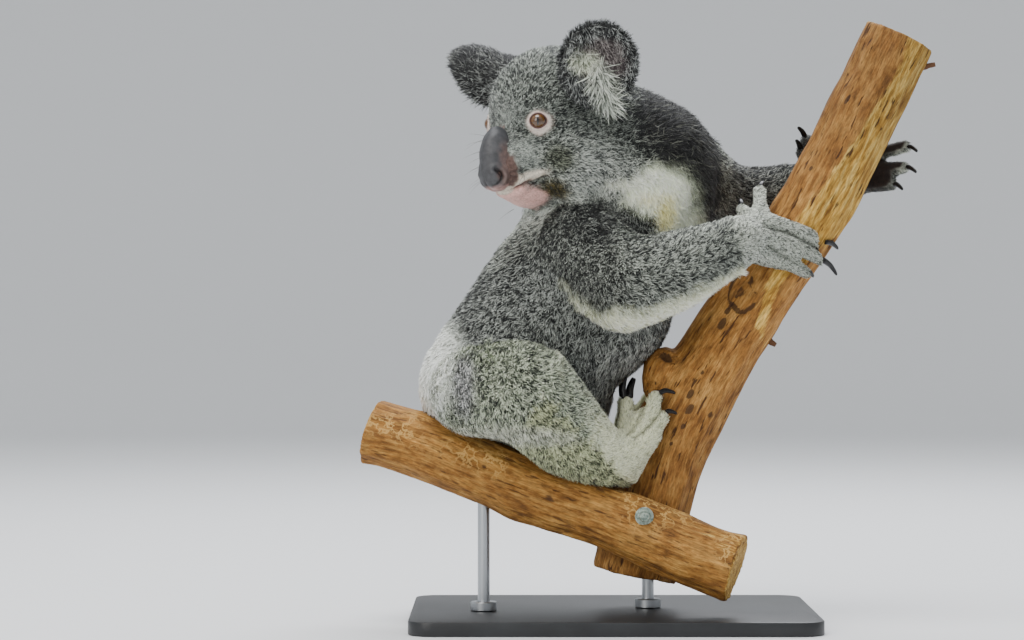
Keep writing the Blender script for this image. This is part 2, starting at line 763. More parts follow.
def galvanised_steel():
    """Old hot-dip galvanised steel: a grey-green bloom in spangles a few millimetres wide."""
    material, tree, shader = start_material("Weathered galvanised steel", "#7E867E", 0.55, Metallic=0.6)
    place = add_node(tree, "ShaderNodeTexCoord").outputs["Object"]
    bloom = add_node(tree, "ShaderNodeTexNoise", None, {"Vector": place, "Scale": 350, "Detail": 4})
    tone = add_node(
        tree, "ShaderNodeValToRGB", {"stops": [(0.35, "#5E6B62"), (0.5, "#86948A"), (0.68, "#A9B0A2")]},
        {"Fac": bloom.outputs["Fac"]},
    )
    tree.links.new(tone.outputs["Color"], shader.inputs["Base Color"])
    return material


def make_perch():
    bark = old_gum_wood("Stripped gum trunk", "#8B5E2B", "#B88C4E", "#523317", 0.95)
    make_wood("perch_trunk", bark, trunk_bared)
    branch = old_gum_wood("Barked gum branch", "#875B27", "#B88D4C", "#482C14", 0.7)
    make_wood("perch_branch", branch, branch_bared)
    twig, _, _ = start_material("Dry twig", "#5A3A22", 0.85)
    turn = np.linspace(0, 2 * np.pi, 16, endpoint=False)[:, None]
    for number, (root, tip, radius) in enumerate(TWIGS, 1):
        root, tip = np.array(root, float), np.array(tip, float)
        way = unit(tip - root)
        across = unit(np.cross(way, (0, 1.0, 0)))
        circle = np.cos(turn) * across + np.sin(turn) * np.cross(way, across)
        share = np.linspace(0, 1, 8)[:, None, None]
        rings = root + (tip - root) * share + radius * (1.15 - 0.5 * share) * circle
        rough = noise(rings.reshape(-1, 3), 3, 8).reshape(rings.shape[:2]) - 0.5
        rings += 0.9 * rough[..., None] * circle
        settle(ring_object(f"twig_{number}", rings * MM, twig), "bark")
    low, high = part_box("perch_bolt")
    middle = (low + high) / 2
    steel = galvanised_steel()
    # A bowed washer and a domed six-sided head, turned about the Y axis.
    radius = (high[0] - low[0]) / 2
    outer = low[1]
    washer = ((radius - 0.4 * MM, 9), (radius, 8), (radius, 7), (radius * 0.75, 5.6), (2 * MM, 5.2))
    bolt_head = ((5.6 * MM, 5.8), (5.6 * MM, 1.4), (4.9 * MM, 0.4), (3 * MM, 0))
    for name, around, profile, nodes in (
        ("washer", 40, washer, ["perch_bolt"]),
        ("bolt_head", 6, bolt_head, []),
    ):
        rings = turned([(r, d * MM) for r, d in profile], (0, 0), around)
        x, y, z = np.moveaxis(rings, -1, 0)
        rings = np.stack([middle[0] + x, outer + z, middle[2] + y], axis=-1)
        settle(ring_object(name, rings[:, ::-1], steel), "bolt_steel", *nodes)


make_perch()

# ---------------------------------------------------------------- skin
# One hide over the whole animal, below the coat by the coat's depth. The real one is thin grey
# skin; here it is drawn from the solids of flesh, run together and smoothed, with the lids, lips
# and folds of the face worked into it. It carries the same markings as the fur.

SKIN_VOXEL = 2.2 * MM
SKIN_SHARE = 0.47  # of the faces that are kept, by thinning all but the hands and feet
SIDES = {"left": 1, "right": -1}
KINDS = ("head", "neck", "torso", "upper_arm", "forearm", "hand", "thigh", "shank", "foot", "ear",
         "nose", "eye")
HEAD = np.array((-58, -15, 499.0))
HEAD_TURN = math.radians(42)
HEAD_AXES = np.array(
    [
        (-math.cos(HEAD_TURN), -math.sin(HEAD_TURN), 0),
        (math.sin(HEAD_TURN), -math.cos(HEAD_TURN), 0),
        (0, 0, 1),
    ]
)
EYE_PLACE = np.array((51, 32, -3.0))
EYE_RADIUS = 9.5
GAZE = (0.70, 0.71, 0.02)
LID_THICKNESS = 1.4
MOUTH = ((73, 0, -73), (68, 12, -70), (62, 20, -65), (55, 29, -60), (49, 35, -56), (46, 38, -55))
LIP_FOLDS = (
    ((74, 17, -58), (66, 24, -57), (57, 30, -54), (50, 35, -52)),
    ((73, 19, -53), (66, 25, -51), (58, 31, -49)),
)
EAR_ROOTS = {"left": (1, 39, 42), "right": (-2, -46, 36)}
EAR_MIDDLES = {"left": (9, 72, 51), "right": (6, -89, 58)}
EAR_OPENINGS = {"left": 50, "right": -92}

# The coat of each part: colours of light and dark hairs, the share of light ones, the length of
# the hair in mm, and how far it stands off the skin, from 0 to 1.
COATS = {
    "head": ("#B2B9AE", "#1B1F1E", 0.40, 5, 0.65),
    "ear": ("#A9ADA9", "#1A1B1C", 0.30, 9, 0.6),
    "neck": ("#C0C5BA", "#1B1E1C", 0.44, 10, 0.6),
    "torso": ("#B2B7AF", "#191B1B", 0.40, 7.5, 0.7),
    "upper_arm": ("#B0B5AA", "#161817", 0.38, 6.5, 0.75),
    "forearm": ("#C2C8BB", "#202322", 0.42, 6, 0.65),
    "hand": ("#E2E8D8", "#3F433B", 0.62, 3.4, 0.45),
    "thigh": ("#E0ECCC", "#2A2F29", 0.52, 7, 0.95),
    "shank": ("#DFE7B6", "#34382A", 0.56, 6, 0.8),
    "foot": ("#FDFFD8", "#A3A77F", 0.84, 4, 0.5),
    "nose": ("#8A7A74", "#5A504D", 0.5, 0, 0.3),
    "eye": ("#E6D6CB", "#C9B4A8", 0.9, 0, 0.3),
}

# Markings over that: the parts they lie on, a middle and half sizes in mm, how soft the edge is,
# and the coat there. Those of the head are in its own frame, and alike on both sides.
HEAD_MARKS = (
    (("head",), (75, 0, 30), (30, 14, 46), 0.9, ("#B0B7AC", "#212624", 0.38, 5, 0.6)),
    (("head",), (78, 0, 2), (24, 30, 24), 0.8, ("#B3B9B0", "#2F3332", 0.48, 3, 0.45)),
    (("head",), (62, 22, -34), (26, 20, 16), 0.8, ("#BFC5BB", "#434846", 0.60, 3, 0.45)),
    (("head", "neck"), (18, 62, -52), (44, 34, 32), 0.9, ("#D6DBD0", "#454A47", 0.58, 7, 0.6)),
    (("head", "neck"), (-10, 62, -60), (50, 40, 26), 0.9, ("#D9DED3", "#4A4E4B", 0.60, 8, 0.6)),
    (("head", "neck"), (8, 40, -92), (46, 46, 22), 0.7, ("#DDE2D6", "#6B706A", 0.68, 7, 0.5)),
    (("head",), (30, 62, 34), (15, 20, 28), 1.0, ("#7F857F", "#191C1B", 0.26, 6, 0.6)),
    (("head",), (-20, 62, -18), (8, 20, 40), 1.0, ("#9AA098", "#1E2120", 0.34, 7, 0.6)),
    (("head",), (40, 48, -40), (17, 14, 13), 1.0, ("#949A86", "#20241D", 0.34, 5, 0.5)),
    (("head", "neck"), (37, 37, -73), (13, 14, 15), 0.9, ("#7E7140", "#221F10", 0.32, 4, 0.45)),
)
MOUTH_LINE = ("#7E4F45", "#4A2A24", 0.5, 0, 0.2)
LIPS = ("#E6DCCB", "#C6B5A0", 0.88, 1.4, 0.25)
NOSE_SIDE = ("#67524B", "#4B3A35", 0.5, 0, 0.2)
CHIN = ("#DDB0A6", "#C08F86", 0.9, 0.9, 0.25)
BODY_MARKS = (
    (("head", "neck", "torso"), (84, -12, 494), (72, 110, 70), 0.5,
     ("#68695F", "#0B0B0B", 0.03, 14, 0.6)),
    (("neck", "torso", "upper_arm"), (108, 40, 440), (56, 60, 52), 0.6,
     ("#66675E", "#0C0C0C", 0.05, 13, 0.6)),
    (("upper_arm", "forearm"), (150, 86, 430), (90, 50, 50), 0.9, ("#9A9B94", "#1C1D1E", 0.32, 8, 0.5)),
    (("hand",), (210, 60, 440), (90, 70, 70), 0.4, ("#8E908A", "#1C1C1D", 0.32, 3.4, 0.5)),
    (("neck", "torso", "upper_arm"), (-6, -96, 404), (56, 52, 30), 0.9,
     ("#969A92", "#121413", 0.24, 7, 0.7)),
    (("ear",), (-122, 47, 566), (60, 60, 34), 0.6, ("#8C8F8A", "#121314", 0.12, 10, 0.6)),
    (("neck", "torso"), (46, -50, 430), (36, 50, 27), 0.45, ("#F8FFE2", "#ECF5D0", 0.95, 9, 0.4)),
    (("neck", "torso"), (10, -60, 441), (30, 34, 9), 0.6, ("#F2F6E2", "#C6CCB0", 0.82, 8, 0.4)),
    (("neck", "torso"), (62, -6, 388), (34, 56, 44), 0.5, ("#F8FFE2", "#ECF5D0", 0.95, 9, 0.4)),
    (("neck", "torso"), (50, -52, 411), (10, 26, 16), 1.0, ("#FDF3AA", "#F0E292", 0.9, 9, 0.4)),
    (("neck", "torso"), (36, -60, 424), (14, 26, 6), 1.0, ("#FAF8CC", "#ECEBB6", 0.9, 9, 0.4)),
    (("torso",), (-92, 0, 420), (90, 90, 70), 0.9, ("#ABB0A8", "#191B1B", 0.38, 7.5, 0.7)),
    (("foot",), (-72, 0, 215), (64, 190, 84), 0.4, ("#E0ECCC", "#2A2F29", 0.54, 6, 0.9)),
    (("torso",), (10, 0, 258), (52, 52, 60), 0.8, ("#C3C4BC", "#3C3D3B", 0.50, 10, 0.5)),
    (("torso", "thigh"), (-186, 0, 252), (40, 120, 60), 0.6, ("#FCFFF4", "#DFE5D8", 0.93, 9, 0.5)),
    (("torso", "thigh"), (-150, -110, 240), (12, 60, 34), 1.0, ("#DADBD8", "#62645F", 0.58, 8, 0.7)),
    (("torso", "thigh"), (-150, 0, 168), (80, 120, 30), 0.8, ("#F0EED6", "#8E8B80", 0.75, 8, 0.5)),
    (("thigh", "shank"), (-100, -120, 190), (60, 60, 10), 1.0, ("#EBEFD6", "#5E6252", 0.64, 7, 0.6)),
)
UNDER_ARM = ("#FDFFDF", "#ECEFC4", 0.94, 11, 0.5)
EYE_RING = ("#F0E2D6", "#D9C2B4", 0.9, 1.6, 0.2)
LID_MARGIN = ("#CBA79C", "#A98478", 0.6, 0, 0.2)
CUP_OF_EAR = ("#97908C", "#413839", 0.36, 6, 0.5)
EAR_FRINGE = ("#DDE3D4", "#5E6459", 0.60, 25, 0.55)
FAR_FRINGE = ("#B4B8B0", "#4E514E", 0.50, 22, 0.6)
EAR_TUFTS = ("#DADFC8", "#7E8470", 0.70, 12, 0.6)
EAR_MARKS = {
    # ellipses on the open face of the ear: middle and half sizes in mm, to the outer side and up
    "left": (
        ((-15, 5), (12, 10), EAR_TUFTS),
        ((0, -10), (7, 14), EAR_FRINGE),
        ((7, -36), (8, 24), EAR_FRINGE),
    ),
    "right": (((8, -22), (34, 16), FAR_FRINGE),),
}
PALM = ("#352B28", "#1E1918", 0.5, 0, 0.2)
# Furrows between the digits of the near hand and foot, seen from the side: x and z, in mm.
FURROWS = (
    ("hand", ((146, 394), (176, 386), (212, 368))),
    ("hand", ((150, 374), (172, 362), (196, 349))),
    ("foot", ((12, 190), (20, 200), (30, 220))),
    ("foot", ((20, 186), (32, 196), (47, 213))),
)
FURROW_DEPTH = 3.2


def to_head(points):
    """Places in the head's own frame, in mm: forward, to its left, and up."""
    return (points / MM - HEAD) @ HEAD_AXES.T


def from_head(places):
    """The frame's places in metres of places in the head."""
    return (HEAD + np.asarray(places, float) @ HEAD_AXES) * MM


def one_side(head):
    """Places in the head, with those on its right side mirrored onto the left."""
    return np.stack([head[:, 0], np.abs(head[:, 1]), head[:, 2]], axis=1)


def is_part(kind, *names):
    """Whether each number in kind is that of one of the named parts."""
    return np.isin(kind, [KINDS.index(name) for name in names])


def mixed(first, second, share):
    """The first value, moved by the share towards the second."""
    return first + (second - first) * share


def nearest(points, targets):
    """For each point p the number of the target t with the least |t|² - 2 p·t."""
    middle = targets.mean(axis=0)
    targets = (targets - middle).astype(np.float32)
    square = (targets**2).sum(axis=1)
    parts = np.array_split((points - middle).astype(np.float32), len(points) // 500 + 1)
    return np.concatenate([np.argmin(square - 2 * part @ targets.T, axis=1) for part in parts])


def largest_body(points, faces):
    """The points and faces of the largest joined surface. Each point takes the least number in
    its faces until nothing changes."""
    label = np.arange(len(points))
    while True:
        least = label[faces].min(axis=1)
        better = label.copy()
        np.minimum.at(better, faces.ravel(), np.repeat(least, 3))
        better = better[better]
        if (better == label).all():
            break
        label = better
    keep = label == np.bincount(label).argmax()
    number = np.cumsum(keep) - 1
    return points[keep], number[faces[keep[faces[:, 0]]]]


def finer(points, faces, chosen):
    """The chosen faces cut in four at the middles of their edges. Their neighbours are cut in
    two or three, so that no gap opens. The last result is an end of each new point's edge."""
    edges = np.sort(np.stack([faces, np.roll(faces, -1, axis=1)], axis=-1), axis=-1)
    key = edges[..., 0].astype(np.int64) * len(points) + edges[..., 1]
    wanted = np.unique(key[chosen])
    spot = np.clip(np.searchsorted(wanted, key), 0, len(wanted) - 1)
    middle = np.where(wanted[spot] == key, spot + len(points), -1)
    middles = (points[wanted // len(points)] + points[wanted % len(points)]) / 2
    cut = (middle >= 0).sum(axis=1)
    # Turned so that the first edge is cut, and the last is not, where only some are.
    turn = np.where(cut == 1, (middle >= 0).argmax(axis=1), 0)
    turn = np.where(cut == 2, (middle < 0).argmax(axis=1) + 1, turn)
    order = (np.arange(3) + turn[:, None]) % 3
    a, b, c = np.take_along_axis(faces, order, axis=1).T
    ab, bc, ca = np.take_along_axis(middle, order, axis=1).T
    pieces = [faces[cut == 0]]
    for count, corners in (
        (1, ((a, ab, c), (ab, b, c))),
        (2, ((ab, b, bc), (a, ab, bc), (a, bc, c))),
        (3, ((a, ab, ca), (ab, b, bc), (ca, bc, c), (ab, bc, ca))),
    ):
        pieces += [np.stack(corner, axis=1)[cut == count] for corner in corners]
    return np.concatenate([points, middles]), np.concatenate(pieces), wanted // len(points)


def node_points(nodes):
    """Places spread over the named solids, and the number of each one's node: the corners and
    the middle of each face."""
    places = []
    numbers = []
    for number, name in enumerate(nodes):
        points, faces = mesh_arrays(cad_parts[name].data)
        spread = np.concatenate([points, points[faces].mean(axis=1)])
        places.append(spread)
        numbers.append(np.full(len(spread), number))
    return np.concatenate(places), np.concatenate(numbers)


def eye_axes(side):
    """The gaze, outward and upward ways of an eye in the head."""
    gaze = unit(np.array(GAZE))
    outward = unit(np.cross((0, 0, 1.0), gaze))
    return np.array((gaze, outward, np.cross(gaze, outward))) * np.array((1, side, 1))


def eye_angles(head, side):
    """How points of the head lie round an eye: distance, the angle off the gaze in degrees, and
    the share of that way which is outwards and upwards."""
    mirror = np.array((1, side, 1))
    offset = head * mirror - EYE_PLACE
    distance = np.linalg.norm(offset, axis=1)
    gaze, outward, upward = eye_axes(1)
    angle = np.degrees(np.arccos(np.clip(offset @ gaze / np.maximum(distance, 1e-9), -1, 1)))
    flat = unit(np.stack([offset @ outward, offset @ upward], axis=1))
    return distance, angle, flat[:, 0], flat[:, 1]


def lid_angle(outward):
    """The half opening of the lids in degrees: round, drawn out a little at the corners."""
    return 46 + 5 * np.abs(outward) ** 3 + 8 * np.clip(outward, 0, 1) ** 8


def shaped_face(points, faces):
    """The skin's places, with lids drawn over the eyeballs, a mouth, folds of the lip, and the
    chin's bulge."""
    head = to_head(points)
    normal = normals_of(points, faces)
    for side in (1, -1):
        distance, angle, outward, _ = eye_angles(head, side)
        lid = lid_angle(outward)
        near = distance < 24
        over = mixed(EYE_RADIUS - 1.8, EYE_RADIUS + LID_THICKNESS, ease(angle, lid - 3, lid + 6))
        own = ease(angle, lid + 8, lid + 42)
        wanted = mixed(over, distance, own)
        mirror = np.array((1, side, 1))
        centre = EYE_PLACE * mirror
        moved = centre + (head - centre) * (wanted / np.maximum(distance, 1e-9))[:, None]
        head = np.where(near[:, None], moved, head)
    folded = one_side(head)
    mouth, _, spot = along_line(folded, smooth_line(MOUTH))
    below = ease(spot[:, 2] - folded[:, 2], 0, 3)
    move = -3.2 * hump(mouth, 1.7) + 1.6 * below * hump(mouth - 6, 4.5)
    move += 0.9 * (1 - below) * hump(mouth - 3.4, 2)
    for fold in LIP_FOLDS:
        line, _, _ = along_line(folded, smooth_line(fold))
        move += -1.1 * hump(line, 1.0) + 0.5 * hump(line - 2.4, 1.2)
    chin = np.exp(-(reach_in(folded, (60, 8, -82), (24, 26, 15)) ** 4))
    move += chin * (2.6 + 0.5 * noise(folded, 3.0, 21) + 0.5 * noise(folded, 6.0, 22) - 0.5)
    return from_head(head) + normal * (move * MM)[:, None]


def furrow(points, kind, side):
    """One in the furrows between the digits on the near side, falling off over 2 mm beside
    each. It is measured across the animal's side, whatever the depth."""
    flat = points[:, [0, 2]] / MM
    flat = np.column_stack([flat[:, 0], 0 * flat[:, 0], flat[:, 1]])
    weight = np.zeros(len(points))
    for part, line in FURROWS:
        line = smooth_line([(x, 0, z) for x, z in line])
        reach, _, _ = along_line(flat, line)
        own = is_part(kind, part) & (side < 0)
        weight = np.maximum(weight, own * hump(reach, 2.0))
    return weight


def coat_array(looks):
    """Rows of numbers for coats: light and dark hair in linear colour, share, length, rise."""
    return np.array([[*linear(light), *linear(dark), *rest] for light, dark, *rest in looks])


def laid(coat, look, weight):
    """The coat with a look laid over it by its weight at each point."""
    return mixed(coat, coat_array([look]), weight[:, None])


def marked_coat(points, normal, kind, side):
    """The coat at each point: its part's own, with each marking laid over it by its weight."""
    coat = coat_array([COATS[name] for name in KINDS])[kind]
    place = points / MM
    head = to_head(points)
    folded = one_side(head)
    wobble = 0.22 * (noise(place, 9, 31) + noise(place, 4, 32) - 1)
    marks = [(folded, mark) for mark in HEAD_MARKS] + [(place, mark) for mark in BODY_MARKS]
    for where, (parts, middle, size, soft, look) in marks:
        reach = reach_in(where, middle, size) + wobble
        weight = 1 - ease(reach, 1 - soft / 2, 1 + soft / 2)
        weight = weight * is_part(kind, *parts)
        coat = laid(coat, look, weight)
    own = is_part(kind, "head", "neck", "nose")
    mouth, _, spot = along_line(folded, smooth_line(MOUTH))
    rise = folded[:, 2] - spot[:, 2]
    reach = reach_in(folded, (54, 0, -80), (31, 36, 18)) + wobble
    chin = own * (1 - ease(reach, 0.85, 1.1)) * (1 - ease(rise, -0.4, 0.8))
    coat = laid(coat, CHIN, chin)
    height = np.interp(folded[:, 0], (46, 72), (5, 13))
    lips = own * ease(rise, -0.8, 0.6) * (1 - ease(mouth + 8 * wobble, height - 2, height + 1.5))
    lips = lips * ease(folded[:, 0], 42, 49)
    coat = laid(coat, LIPS, lips)
    reach = reach_in(folded, (78, 16, -53), (13, 10, 19)) + wobble
    beside = own * (1 - ease(reach, 0.85, 1.15)) * ease(rise, -0.4, 0.8)
    coat = laid(coat, NOSE_SIDE, beside)
    line = own * hump(mouth, 1.3) * (folded[:, 0] > 46)
    coat = laid(coat, MOUTH_LINE, line)
    arm = is_part(kind, "upper_arm", "forearm")
    lower = arm * (side < 0) * ease(-normal[:, 2] + 1.2 * wobble, 0.32, 0.78)
    coat = laid(coat, UNDER_ARM, lower)
    face = is_part(kind, "head", "eye", "nose")
    for mirror in (1, -1):
        distance, angle, outward, upward = eye_angles(head, mirror)
        edge = lid_angle(outward)
        spread = distance * np.sin(np.radians(angle))
        spread = spread - 4 * np.clip(outward, 0, 1) ** 6 + 2.4 * np.clip(upward, 0, 1)
        ring = 1 - ease(spread + 6 * wobble, 11.5, 16)
        ring = ring * face * (distance < 26) * (angle < 100)
        coat = laid(coat, EYE_RING, ring)
        margin = hump(np.clip(angle - edge, 0, None), 5) * face * (distance < 14)
        coat = laid(coat, LID_MARGIN, margin)
    ear = is_part(kind, "ear")
    for which, mirror in SIDES.items():
        own = ear & (side == mirror)
        turn = math.radians(EAR_OPENINGS[which])
        front = normal @ (np.array((math.cos(turn), math.sin(turn), 0)) @ HEAD_AXES)
        offset = head - np.array(EAR_MIDDLES[which])
        outer = offset @ np.array((-math.sin(turn), math.cos(turn), 0)) * mirror
        reach = np.hypot(outer - 4, offset[:, 2] - 6)
        inner = own * ease(front, 0.1, 0.5) * (1 - ease(reach + 12 * wobble, 20, 27))
        coat = laid(coat, CUP_OF_EAR, inner)
        for (right, up), size, look in EAR_MARKS[which]:
            reach = np.hypot((outer - right) / size[0], (offset[:, 2] - up) / size[1]) + wobble
            weight = own * ease(front, -0.1, 0.35) * (1 - ease(reach, 0.55, 1.4))
            coat = laid(coat, look, weight)
    dark = coat.copy()
    dark[:, 0:3] *= 0.25
    dark[:, 3:6] *= 0.4
    dark[:, 7] *= 0.6
    coat = mixed(coat, dark, 0.8 * furrow(points, kind, side)[:, None])
    palms = is_part(kind, "hand", "foot") * gripping(place, normal)
    coat = laid(coat, PALM, palms)
    return coat


def gripping(place, normal):
    """One where the skin looks at the middle line of the perch, as palms and soles do."""
    weight = np.zeros(len(place))
    for line in WOOD_LINES.values():
        distance, _, spot = along_line(place, line)
        toward = ((spot - place) * normal).sum(axis=1) / distance
        weight = np.maximum(weight, ease(toward, 0.35, 0.75) * (distance < 75))
    return weight


def fur_skin():
    """Short downy skin: the markings, broken up by a grain of hairs about 1.5 mm across, and a
    fine raised nap. It has no gloss."""
    material, tree, shader = start_material("Furred skin", "#8A8A88", 0.85)
    shader.inputs["Specular IOR Level"].default_value = 0.2
    shader.inputs["Sheen Weight"].default_value = 0.15
    colour = add_node(tree, "ShaderNodeAttribute", {"attribute_name": "Coat"})
    place = add_node(tree, "ShaderNodeTexCoord").outputs["Object"]
    nap = add_node(
        tree, "ShaderNodeTexNoise", None, {"Vector": place, "Scale": 650, "Detail": 4, "Roughness": 0.6}
    )
    tone = add_node(
        tree, "ShaderNodeMapRange", None,
        {"Value": nap.outputs["Fac"], "From Min": 0.35, "From Max": 0.65, "To Min": 0.72,
         "To Max": 1.15},
    )
    grained = add_node(
        tree, "ShaderNodeMix", {"data_type": "RGBA", "blend_type": "MULTIPLY"},
        {0: 1.0, 6: colour.outputs["Color"], 7: tone.outputs["Result"]},
    )
    bump = add_node(
        tree, "ShaderNodeBump", None,
        {"Strength": 0.6, "Distance": 0.0006, "Height": nap.outputs["Fac"]},
    )
    tree.links.new(grained.outputs[2], shader.inputs["Base Color"])
    tree.links.new(bump.outputs["Normal"], shader.inputs["Normal"])
    return material


def set_colours(mesh, name, colours):
    """A colour attribute of linear colours, one for each point."""
    layer = mesh.color_attributes.new(name, "FLOAT_COLOR", "POINT")
    full = np.concatenate([colours, np.ones((len(colours), 1))], axis=1)
    layer.data.foreach_set("color", full.astype(np.float32).ravel())


def make_skin():
    """The hide as arrays: places, faces, normals, parts, sides and coats."""
    nodes = [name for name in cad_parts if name.startswith(KINDS)]
    fine = [name for name in nodes if name.startswith(("hand", "foot"))]
    points, faces = largest_body(*solid_of(nodes, SKIN_VOXEL, fine, SKIN_SHARE))
    targets, numbers = node_points(nodes)
    number = numbers[nearest(points, targets)]
    kinds = np.array([[name.startswith(kind) for kind in KINDS].index(True) for name in nodes])
    kind = kinds[number]
    thin = is_part(kind, "hand", "foot", "ear", "nose", "eye")
    gentle = np.where(thin, 0.12, 0.6)
    gentle = np.where(is_part(kind, "head") & (to_head(points)[:, 0] > 25), 0.22, gentle)
    points = relaxed(points, faces, 20, relaxed(gentle, faces, 3))
    for eyes_only in (False, True):
        middle = to_head(points[faces].mean(axis=1))
        folded = one_side(middle)
        eyes = np.linalg.norm(folded - EYE_PLACE, axis=1) < 17
        lips = reach_in(folded, (60, 16, -64), (24, 27, 20)) < 1
        front = (np.abs(folded - (58, 0, -32)) < (36, 56, 68)).all(axis=1)
        chosen = (eyes | lips) if eyes_only else front
        points, faces, ends = finer(points, faces, chosen)
        number = np.concatenate([number, number[ends]])
    kind = kinds[number]
    points = relaxed(points, faces, 2, 0.3)
    normal = normals_of(points, faces)
    sides = np.array([SIDES.get(name.split("_")[-1], 0) for name in nodes])
    side = sides[number]
    coat = marked_coat(points, normal, kind, side)
    depth = np.where(is_part(kind, "nose"), 3.5, 0.9 * coat[:, 7] * coat[:, 8])
    depth = relaxed(depth, faces, 10)
    depth = np.where(is_part(kind, "hand", "foot"), np.minimum(depth, 1.1), depth)
    depth = np.where(is_part(kind, "ear"), np.minimum(depth + 1, 4.2), depth)
    depth = relaxed(depth, faces, 4)
    depth = depth + FURROW_DEPTH * furrow(points, kind, side)
    points = points - normal * (depth * MM)[:, None]
    points = shaped_face(points, faces)
    normal = normals_of(points, faces)
    return dict(points=points, faces=faces, normal=normal, kind=kind, side=side, coat=coat)


def make_hide(skin):
    """The skin as a piece, in its coat's colours, darker under long dark fur than under short."""
    piece = mesh_object("skin", skin["points"], skin["faces"], fur_skin())
    coat = skin["coat"]
    grain = 0.5 + 0.9 * (noise(skin["points"] / MM, 2.6, 41) - 0.5)
    share = np.clip(coat[:, 6] + 0.8 * (grain - 0.5), 0.05, 1)[:, None]
    base = mixed(coat[:, 3:6], coat[:, 0:3], share)
    deep = mixed(0.55, 0.95, coat[:, 6:7] ** 2)
    set_colours(piece.data, "Coat", base * np.where(coat[:, 7:8] > 3, deep, 0.95))
    settle(piece, "fur", *[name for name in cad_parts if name.startswith(KINDS[:10])])


skin = make_skin()
make_hide(skin)

# ---------------------------------------------------------------- coat
# Dense woolly fur. Each tuft is a thin curved blade of hair with its root in the skin: it
# follows the lie of the coat, and is dark at the root and lighter towards the tip.

HAIR_WIDTH = 0.75 * MM
HAIR_SINK = 0.4 * MM
BAKE_PATCH = 0.0015  # half the width of a tuft's patch of the unwrap
HEAD_STREAMS = (
    ((82, 0, -10), (76, 0, 20), (60, 0, 52), (30, 0, 76), (-20, 0, 82), (-60, 0, 50), (-75, 0, 0)),
    ((76, 14, 5), (62, 36, 22), (35, 52, 44), (0, 60, 45), (-40, 50, 20)),
    ((70, 20, -38), (50, 42, -36), (20, 60, -40), (-25, 62, -50)),
    ((72, 18, -20), (58, 40, -20), (30, 60, -14), (-10, 66, -14), (-45, 55, -20)),
    ((45, 22, -85), (20, 42, -85), (-15, 45, -90)),
    ((72, 4, -78), (50, 4, -92), (25, 0, -95)),
)
BODY_STREAMS = (
    ((0, -40, 478), (52, -30, 440), (74, -22, 410), (76, 0, 360)),
    ((45, -20, 515), (80, -20, 490), (108, -10, 455), (112, 0, 410)),
    ((20, 40, 520), (80, 60, 480), (112, 84, 440)),
    ((-70, 10, 445), (-100, 10, 400), (-140, 10, 330), (-180, 6, 260), (-195, 0, 215)),
    ((-40, -60, 420), (-90, -65, 340), (-130, -72, 270), (-165, -80, 210)),
    ((-10, -60, 380), (-56, -72, 310), (-90, -76, 240)),
    ((56, -10, 370), (30, -10, 310), (8, -10, 250), (-30, -10, 205)),
)
ARM_STREAMS = {
    "right": (
        ((-30, -80, 420), (-6, -120, 372), (14, -142, 338), (62, -126, 345), (118, -98, 372),
         (160, -70, 388), (215, -52, 372)),
    ),
    "left": (((78, 60, 470), (104, 96, 440), (150, 96, 436), (190, 80, 446), (240, 60, 440)),),
}
LEG_STREAM = ((-160, -90, 270), (-118, -140, 262), (-88, -148, 226), (-48, -115, 196), (-8, -85, 170),
              (18, -75, 185), (36, -60, 225))
HANGING = np.array((0.45, -0.15, -0.88))
TORSO_PARTING = 6  # y in mm of the line between the torso's two pieces of coat
# How light a tuft is beside its own tone, on dark coats and on white ones: white wool is white
# down to its roots.
ROOT_TONE = (0.22, 0.88)
MIDDLE_TONE = (0.66, 1.0)
TIP_TONE = 1.35
COAT_PIECES = (
    # name, parts, side, number of tufts
    ("coat_head", ("head", "eye"), None, 66000),
    ("coat_ears", ("ear",), None, 34000),
    ("coat_neck", ("neck",), None, 52000),
    ("coat_torso_right", ("torso",), "right", 62000),
    ("coat_torso_left", ("torso",), "left", 50000),
    ("coat_arm_right", ("upper_arm", "forearm", "hand"), "right", 66000),
    ("coat_arm_left", ("upper_arm", "forearm", "hand"), "left", 46000),
    ("coat_leg_right", ("thigh", "shank", "foot"), "right", 66000),
    ("coat_leg_left", ("thigh", "shank", "foot"), "left", 44000),
)


def stream_ways(points, streams):
    """At each point the way of the streams near it: the sum of their ways, each by 1 / d⁴."""
    places = [smooth_line(np.array(stream, float), 6) for stream in streams]
    starts = np.concatenate([line[:-1] for line in places])
    ways = np.concatenate([unit(line[1:] - line[:-1]) for line in places])
    square = ((points[:, None] - starts) ** 2).sum(axis=2)
    return unit((1 / (square + 40) ** 2) @ ways)


def mirrored(streams):
    """The streams, and the same on the other side."""
    return [*streams, *[[(x, -y, z) for x, y, z in stream] for stream in streams]]


